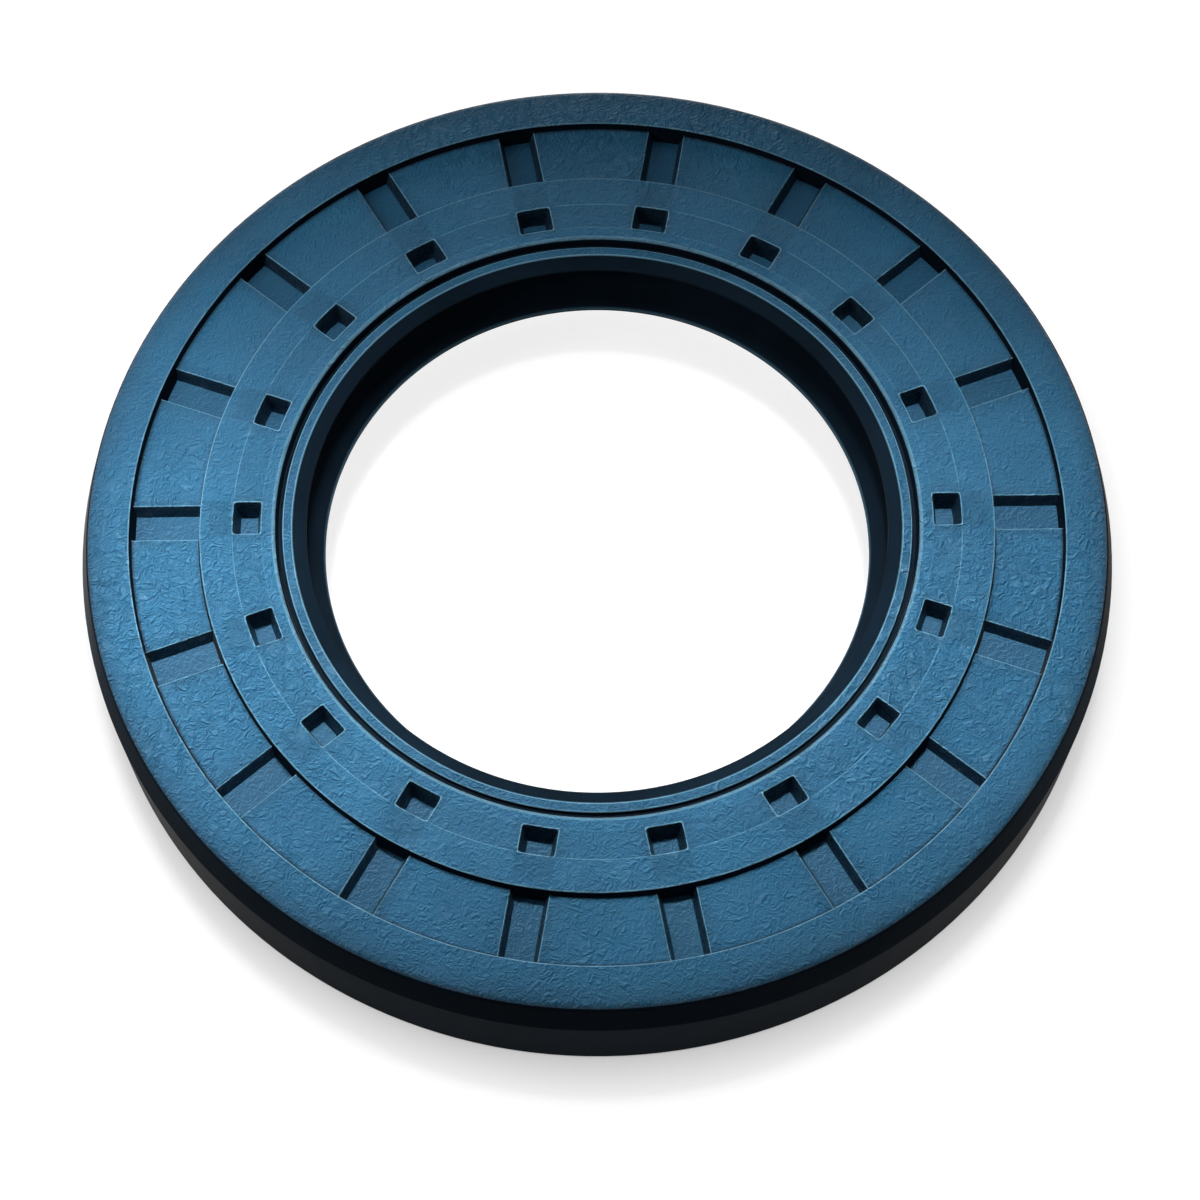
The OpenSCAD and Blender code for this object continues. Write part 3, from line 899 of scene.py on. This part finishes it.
def weighted_normals(mesh):
    loop_vert = read_all(mesh.loops, "vertex_index", kind=np.int32)
    sizes = read_all(mesh.polygons, "loop_total", kind=np.int32)
    loop_face = np.repeat(np.arange(len(sizes)), sizes)
    normals = read_all(mesh.polygons, "normal", width=3)
    areas = read_all(mesh.polygons, "area")
    order = np.argsort(loop_vert, kind="stable")
    sorted_vert = loop_vert[order]
    first = np.searchsorted(sorted_vert, sorted_vert)
    rank = np.arange(len(loop_vert)) - first
    table = np.full((len(mesh.vertices), rank.max() + 1), -1, np.int64)
    table[sorted_vert, rank] = order
    around = table[loop_vert]
    faces = np.where(around >= 0, loop_face[around], 0)
    weight = np.where(around >= 0, areas[faces], 0.0)
    turned = np.einsum("ijk,ik->ij", normals[faces], normals[loop_face])
    aligned = turned > math.cos(math.radians(CREASE_DEG))
    total = np.einsum("ij,ijk->ik", weight * aligned, normals[faces])
    total /= np.maximum(np.linalg.norm(total, axis=1, keepdims=True), 1e-20)
    mesh.normals_split_custom_set(total.tolist())


weighted_normals(moulding.data)
check = bmesh.new()
check.from_mesh(moulding.data)
open_edges = sum(1 for e in check.edges if not e.is_manifold)
print("open edges:", open_edges, "volume in mm3:", round(check.calc_volume(signed=True) / MM ** 3, 1))
check.free()

# %% [markdown]
# ## The garter spring
#
# The spring is a close-wound coil bent into a ring. It is a curve that follows a rule, so a node tree
# draws it: each point goes once round the seal while it goes hundreds of times round the coil, and a
# round wire is swept along it.

# %% Wind the spring
WIRE_D, WIRE_SIDES, POINTS_PER_TURN = 0.4, 7, 14
COIL_R = SPRING_D / 2 - WIRE_D / 2
TURNS = int(math.tau * SPRING_R / WIRE_D)


def spring_tree():
    tree, source, sink = geometry_tree("wind_spring", [
        ("Ring Radius", "NodeSocketFloat"), ("Coil Radius", "NodeSocketFloat"), ("Height", "NodeSocketFloat"),
        ("Turns", "NodeSocketInt"), ("Points per Turn", "NodeSocketInt"), ("Wire Radius", "NodeSocketFloat"),
        ("Material", "NodeSocketMaterial")])
    number = math_node(tree, "MULTIPLY", source.outputs["Turns"], source.outputs["Points per Turn"])
    circle = add_node(tree, "GeometryNodeCurvePrimitiveCircle", {"mode": "RADIUS"}, Resolution=number,
                      Radius=1.0)
    index = add_node(tree, "GeometryNodeInputIndex")
    along = math_node(tree, "MULTIPLY", math_node(tree, "DIVIDE", index.outputs[0], number), math.tau)
    round_coil = math_node(tree, "MULTIPLY", along, source.outputs["Turns"])
    reach = math_node(tree, "ADD", source.outputs["Ring Radius"], math_node(
        tree, "MULTIPLY", source.outputs["Coil Radius"], math_node(tree, "COSINE", round_coil)))
    rise = math_node(tree, "ADD", source.outputs["Height"], math_node(
        tree, "MULTIPLY", source.outputs["Coil Radius"], math_node(tree, "SINE", round_coil)))
    place = add_node(
        tree, "ShaderNodeCombineXYZ", X=math_node(tree, "MULTIPLY", reach, math_node(tree, "COSINE", along)),
        Y=math_node(tree, "MULTIPLY", reach, math_node(tree, "SINE", along)), Z=rise)
    coil = add_node(tree, "GeometryNodeSetPosition", Geometry=circle.outputs[0], Position=place.outputs[0])
    wire_circle = add_node(tree, "GeometryNodeCurvePrimitiveCircle", {"mode": "RADIUS"},
                           Resolution=WIRE_SIDES, Radius=source.outputs["Wire Radius"])
    swept = add_node(tree, "GeometryNodeCurveToMesh", Curve=coil.outputs[0], i1=wire_circle.outputs[0])
    smooth = add_node(tree, "GeometryNodeSetShadeSmooth", Geometry=swept.outputs[0])
    real = add_node(tree, "GeometryNodeRealizeInstances", Geometry=smooth.outputs[0])
    finish = add_node(tree, "GeometryNodeSetMaterial", Geometry=real.outputs[0],
                      Material=source.outputs["Material"])
    tree.links.new(finish.outputs[0], sink.inputs[0])
    return tree


carrier = bpy.data.objects.new("spring_carrier", bpy.data.meshes.new("spring_carrier"))
bpy.context.scene.collection.objects.link(carrier)
coil = bpy.data.objects.new("spring_coil", run_tree(carrier, spring_tree(), {
    "Ring Radius": SPRING_R * MM, "Coil Radius": COIL_R * MM, "Height": SPRING_Z * MM, "Turns": TURNS,
    "Points per Turn": POINTS_PER_TURN, "Wire Radius": WIRE_D / 2 * MM, "Material": wire}))
bpy.context.scene.collection.objects.link(coil)
bpy.data.objects.remove(carrier)
print("the spring has", TURNS, "turns and", sum(len(p.vertices) - 2 for p in coil.data.polygons), "triangles")

# %% [markdown]
# ## Hand the pieces to the model
#
# The moulding and the spring stand for their plain solids, and both ride on the only body. The steel
# ring keeps its solid.

# %% Replace the plain solids
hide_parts("rubber_body")
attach(moulding, "root")
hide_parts("garter_spring")
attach(coil, "root")
print(moulding.name, "and", coil.name, "stand for their solids")

# %% [markdown]
# ## Camera
#
# The photograph looks down on the seal from the front at about 65 degrees, from close by. These
# values come from a fit to the circles of the seal, and the lengths in it are shares of the face's
# radius. The seal is turned by a degree against the camera, so the camera goes round it by as much.

# %% Camera
FACE_R = 48.7
ELEVATION, TURN = math.radians(65.42), math.radians(-0.85)
DISTANCE, TARGET_X, TARGET_Y = 5.16, 0.0054, -0.1889
FOCAL_PIXELS, PICTURE_PIXELS, SENSOR = 2652, 1200, 36.0
target = Vector((TARGET_X * FACE_R * MM, TARGET_Y * FACE_R * MM, WIDTH * MM))
back = Vector((0, -math.cos(ELEVATION), math.sin(ELEVATION)))
turn_back = Matrix.Rotation(TURN, 3, "Z")
data = bpy.data.cameras.new("camera")
data.lens, data.sensor_width, data.clip_start = SENSOR * FOCAL_PIXELS / PICTURE_PIXELS, SENSOR, 0.01
camera = bpy.data.objects.new("camera", data)
camera.location = turn_back @ (target + back * (DISTANCE * FACE_R * MM))
camera.rotation_euler = (turn_back @ back).to_track_quat("Z", "Y").to_euler()
bpy.context.scene.collection.objects.link(camera)
bpy.context.scene.camera = camera
print("camera at", [round(c / MM, 1) for c in camera.location], "mm, lens", round(data.lens, 1), "mm")

# %% [markdown]
# ## Table
#
# The table is white in the picture, yet it throws little light back on the seal, as in a studio where
# the walls are dark. Light Path tells the camera's rays from the bounced ones, so the table glows
# white for the eye and for glossy and transmission rays, and is a dull grey for the diffuse bounces. A
# glowing table would lose the shadow, so its glow is dimmed by ambient occlusion: where the seal hides
# much of the sky, the table is darker.

# %% Table
TABLE_SIZE = 3.0
SHADE_REACH, SHADE_SAMPLES, SHADE_OPEN, SHADE_DARK = 0.008, 12, 0.95, 0.05
SEEN_GREY, BOUNCE_GREY = 0.2, 0.15


def grey(level):
    return level, level, level, 1


def white_table():
    material = bpy.data.materials.new("white_table")
    material.use_nodes = True
    tree = material.node_tree
    tree.nodes.clear()
    sink = tree.nodes.new("ShaderNodeOutputMaterial")
    light_path = tree.nodes.new("ShaderNodeLightPath")
    seen = math_node(tree, "MAXIMUM", light_path.outputs["Is Camera Ray"], math_node(
        tree, "MAXIMUM", light_path.outputs["Is Glossy Ray"], light_path.outputs["Is Transmission Ray"]))
    white = add_node(tree, "ShaderNodeBsdfDiffuse", Color=grey(SEEN_GREY))
    open_sky = add_node(tree, "ShaderNodeAmbientOcclusion", {"samples": SHADE_SAMPLES}, Distance=SHADE_REACH)
    level = ramp(tree, open_sky.outputs["AO"], 0.0, SHADE_OPEN, SHADE_DARK, 1.0)
    glow = add_node(tree, "ShaderNodeEmission", Color=grey(1), Strength=level)
    bright = add_node(tree, "ShaderNodeAddShader", i0=white.outputs[0], i1=glow.outputs[0])
    dark = add_node(tree, "ShaderNodeBsdfDiffuse", Color=grey(BOUNCE_GREY))
    mixed = add_node(tree, "ShaderNodeMixShader", i0=seen, i1=dark.outputs[0], i2=bright.outputs[0])
    tree.links.new(mixed.outputs[0], sink.inputs["Surface"])
    return material


bm = bmesh.new()
bmesh.ops.create_grid(bm, x_segments=1, y_segments=1, size=TABLE_SIZE)
table_mesh = bpy.data.meshes.new("table")
bm.to_mesh(table_mesh)
bm.free()
table = bpy.data.objects.new("table", table_mesh)
table.data.materials.append(white_table())
bpy.context.scene.collection.objects.link(table)
print("the table's shade reaches", SHADE_REACH / MM, "mm from the seal")

# %% [markdown]
# ## Light
#
# Four soft lamps give the course of the light in the photograph. A large one hangs above and a little
# behind, so the walls that face the camera stay dark. A small one close by on the left fills that
# side. A third lies low at the back, as a bright wall would, and adds gloss. The last is long and has
# a grid in front, so it lays one soft band of light over the face, a little in front of the middle.
# An area lamp is used for each, because its size makes the shadows soft.

# %% Lamps
def add_lamp(name, location, rotation, watts, **shape):
    data = bpy.data.lights.new(name, "AREA")
    for key, value in dict(shape, energy=watts).items():
        setattr(data, key, value)
    lamp = bpy.data.objects.new(name, data)
    lamp.location, lamp.rotation_euler = location, rotation
    bpy.context.scene.collection.objects.link(lamp)
    print("lamp", name, "at", [round(c / MM) for c in location], "mm with", watts, "W")


def soft_lamp(name, azimuth, elevation, distance, size, watts):
    """A round lamp that looks at the seal from a direction; azimuth 90 is behind it, 180 is left."""
    a, e = math.radians(azimuth), math.radians(elevation)
    toward = Vector((math.cos(e) * math.cos(a), math.cos(e) * math.sin(a), math.sin(e)))
    add_lamp(name, toward * distance, toward.to_track_quat("Z", "Y").to_euler(), watts,
             shape="DISK", size=size)


def band_lamp(name, at, tilt, distance, length, depth, spread, watts):
    """A long lamp with a grid, which lays a soft band of light along X over a point in millimetres."""
    tilt = math.radians(tilt)
    toward = Vector((0, math.sin(tilt), math.cos(tilt)))
    add_lamp(name, Vector(at) * MM + toward * distance, (-tilt, 0, 0), watts,
             shape="RECTANGLE", size=length, size_y=depth, spread=math.radians(spread))


soft_lamp("overhead", azimuth=100, elevation=58, distance=0.6, size=0.28, watts=0.34)
soft_lamp("left_fill", azimuth=178, elevation=42, distance=0.127, size=0.05, watts=0.032)
soft_lamp("horizon", azimuth=95, elevation=16, distance=0.7, size=0.3, watts=0.7)
band_lamp("band", at=(-13, -10, WIDTH), tilt=17, distance=0.3, length=0.13, depth=0.045, spread=17,
          watts=0.034)

# %% [markdown]
# The world is a plain white studio. Rays from the camera see it at full strength, which makes the
# background white, and all other rays see only a little of it, so that it doesn't wash out the light
# of the lamps.

# %% World
WORLD_LIGHT, WORLD_WHITE = 0.07, 1.0
world = bpy.data.worlds.new("studio")
world.use_nodes = True
tree = world.node_tree
light_path = tree.nodes.new("ShaderNodeLightPath")
seen = math_node(tree, "MAXIMUM", light_path.outputs["Is Camera Ray"],
                 light_path.outputs["Is Transmission Ray"])
strength = math_node(tree, "ADD", math_node(tree, "MULTIPLY", seen, WORLD_WHITE - WORLD_LIGHT), WORLD_LIGHT)
tree.nodes["Background"].inputs["Color"].default_value = grey(1)
tree.links.new(strength, tree.nodes["Background"].inputs["Strength"])
bpy.context.scene.world = world
bpy.context.scene.view_settings.view_transform = "Standard"
print("world strength", WORLD_LIGHT, "for the seal and", WORLD_WHITE, "for the camera")
